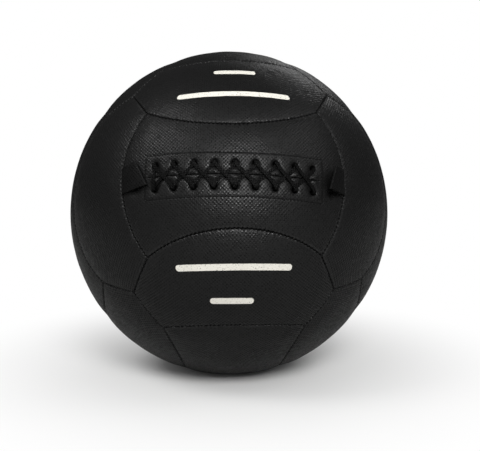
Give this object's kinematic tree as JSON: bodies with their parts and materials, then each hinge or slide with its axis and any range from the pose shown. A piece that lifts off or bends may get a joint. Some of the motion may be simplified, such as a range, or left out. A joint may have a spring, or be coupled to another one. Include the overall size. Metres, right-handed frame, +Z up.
{
  "type": "wall ball",
  "caption": "Soft laced wall ball with a black textured cover of four-sided and six-sided panels, a laced filling slit and folded end tabs.",
  "frame": {"origin": "middle of the flat that the ball rests on", "axes": "+Z up; -Y is the front, where the laced panel looks up by about 20 degrees as the ball lies; +X to the right of someone who faces the lacing"},
  "size_m": [0.3524, 0.352, 0.3528],
  "materials": {
    "cover": "matt coated fabric with a fine woven texture",
    "tab": "matt coated fabric, folded double",
    "lace": "flat textured band",
    "canvas": "plain canvas",
    "wadding": "compressed textile wadding",
    "sackcloth": "dense woven cloth",
    "shot": "fine shot",
    "string": "twisted string"
  },
  "bodies": {
    "root": {"laced_panel": "cover", "rear_panel": "cover", "left_panel": "cover", "right_panel": "cover", "top_panel": "cover", "bottom_panel": "cover", "front_upper_panel": "cover", "front_lower_panel": "cover", "front_left_panel": "cover", "front_right_panel": "cover", "rear_upper_panel": "cover", "rear_lower_panel": "cover", "rear_left_panel": "cover", "rear_right_panel": "cover", "upper_left_panel": "cover", "upper_right_panel": "cover", "lower_left_panel": "cover", "lower_right_panel": "cover", "slit_patch": "cover", "slit_flap": "canvas", "lace": "lace", "lining": "canvas", "filling_front": "wadding", "filling_rear": "wadding", "weight_bag": "sackcloth", "weight_fill": "shot", "bag_tie": "string"},
    "left_tab": {"left_tab": "tab"},
    "right_tab": {"right_tab": "tab"}
  },
  "joints": [
    {"name": "left_tab_fold", "type": "hinge", "parent": "root", "child": "left_tab", "pos_m": [-0.11114, -0.1281, 0.22439], "axis": [0, -0.3469, -0.9379], "range_deg": [-2, 150], "stiffness_Nm_per_rad": 0.02},
    {"name": "right_tab_fold", "type": "hinge", "parent": "root", "child": "right_tab", "pos_m": [0.11114, -0.12927, 0.22121], "axis": [0, 0.3469, 0.9379], "range_deg": [-15, 137], "stiffness_Nm_per_rad": 0.02}
  ]
}
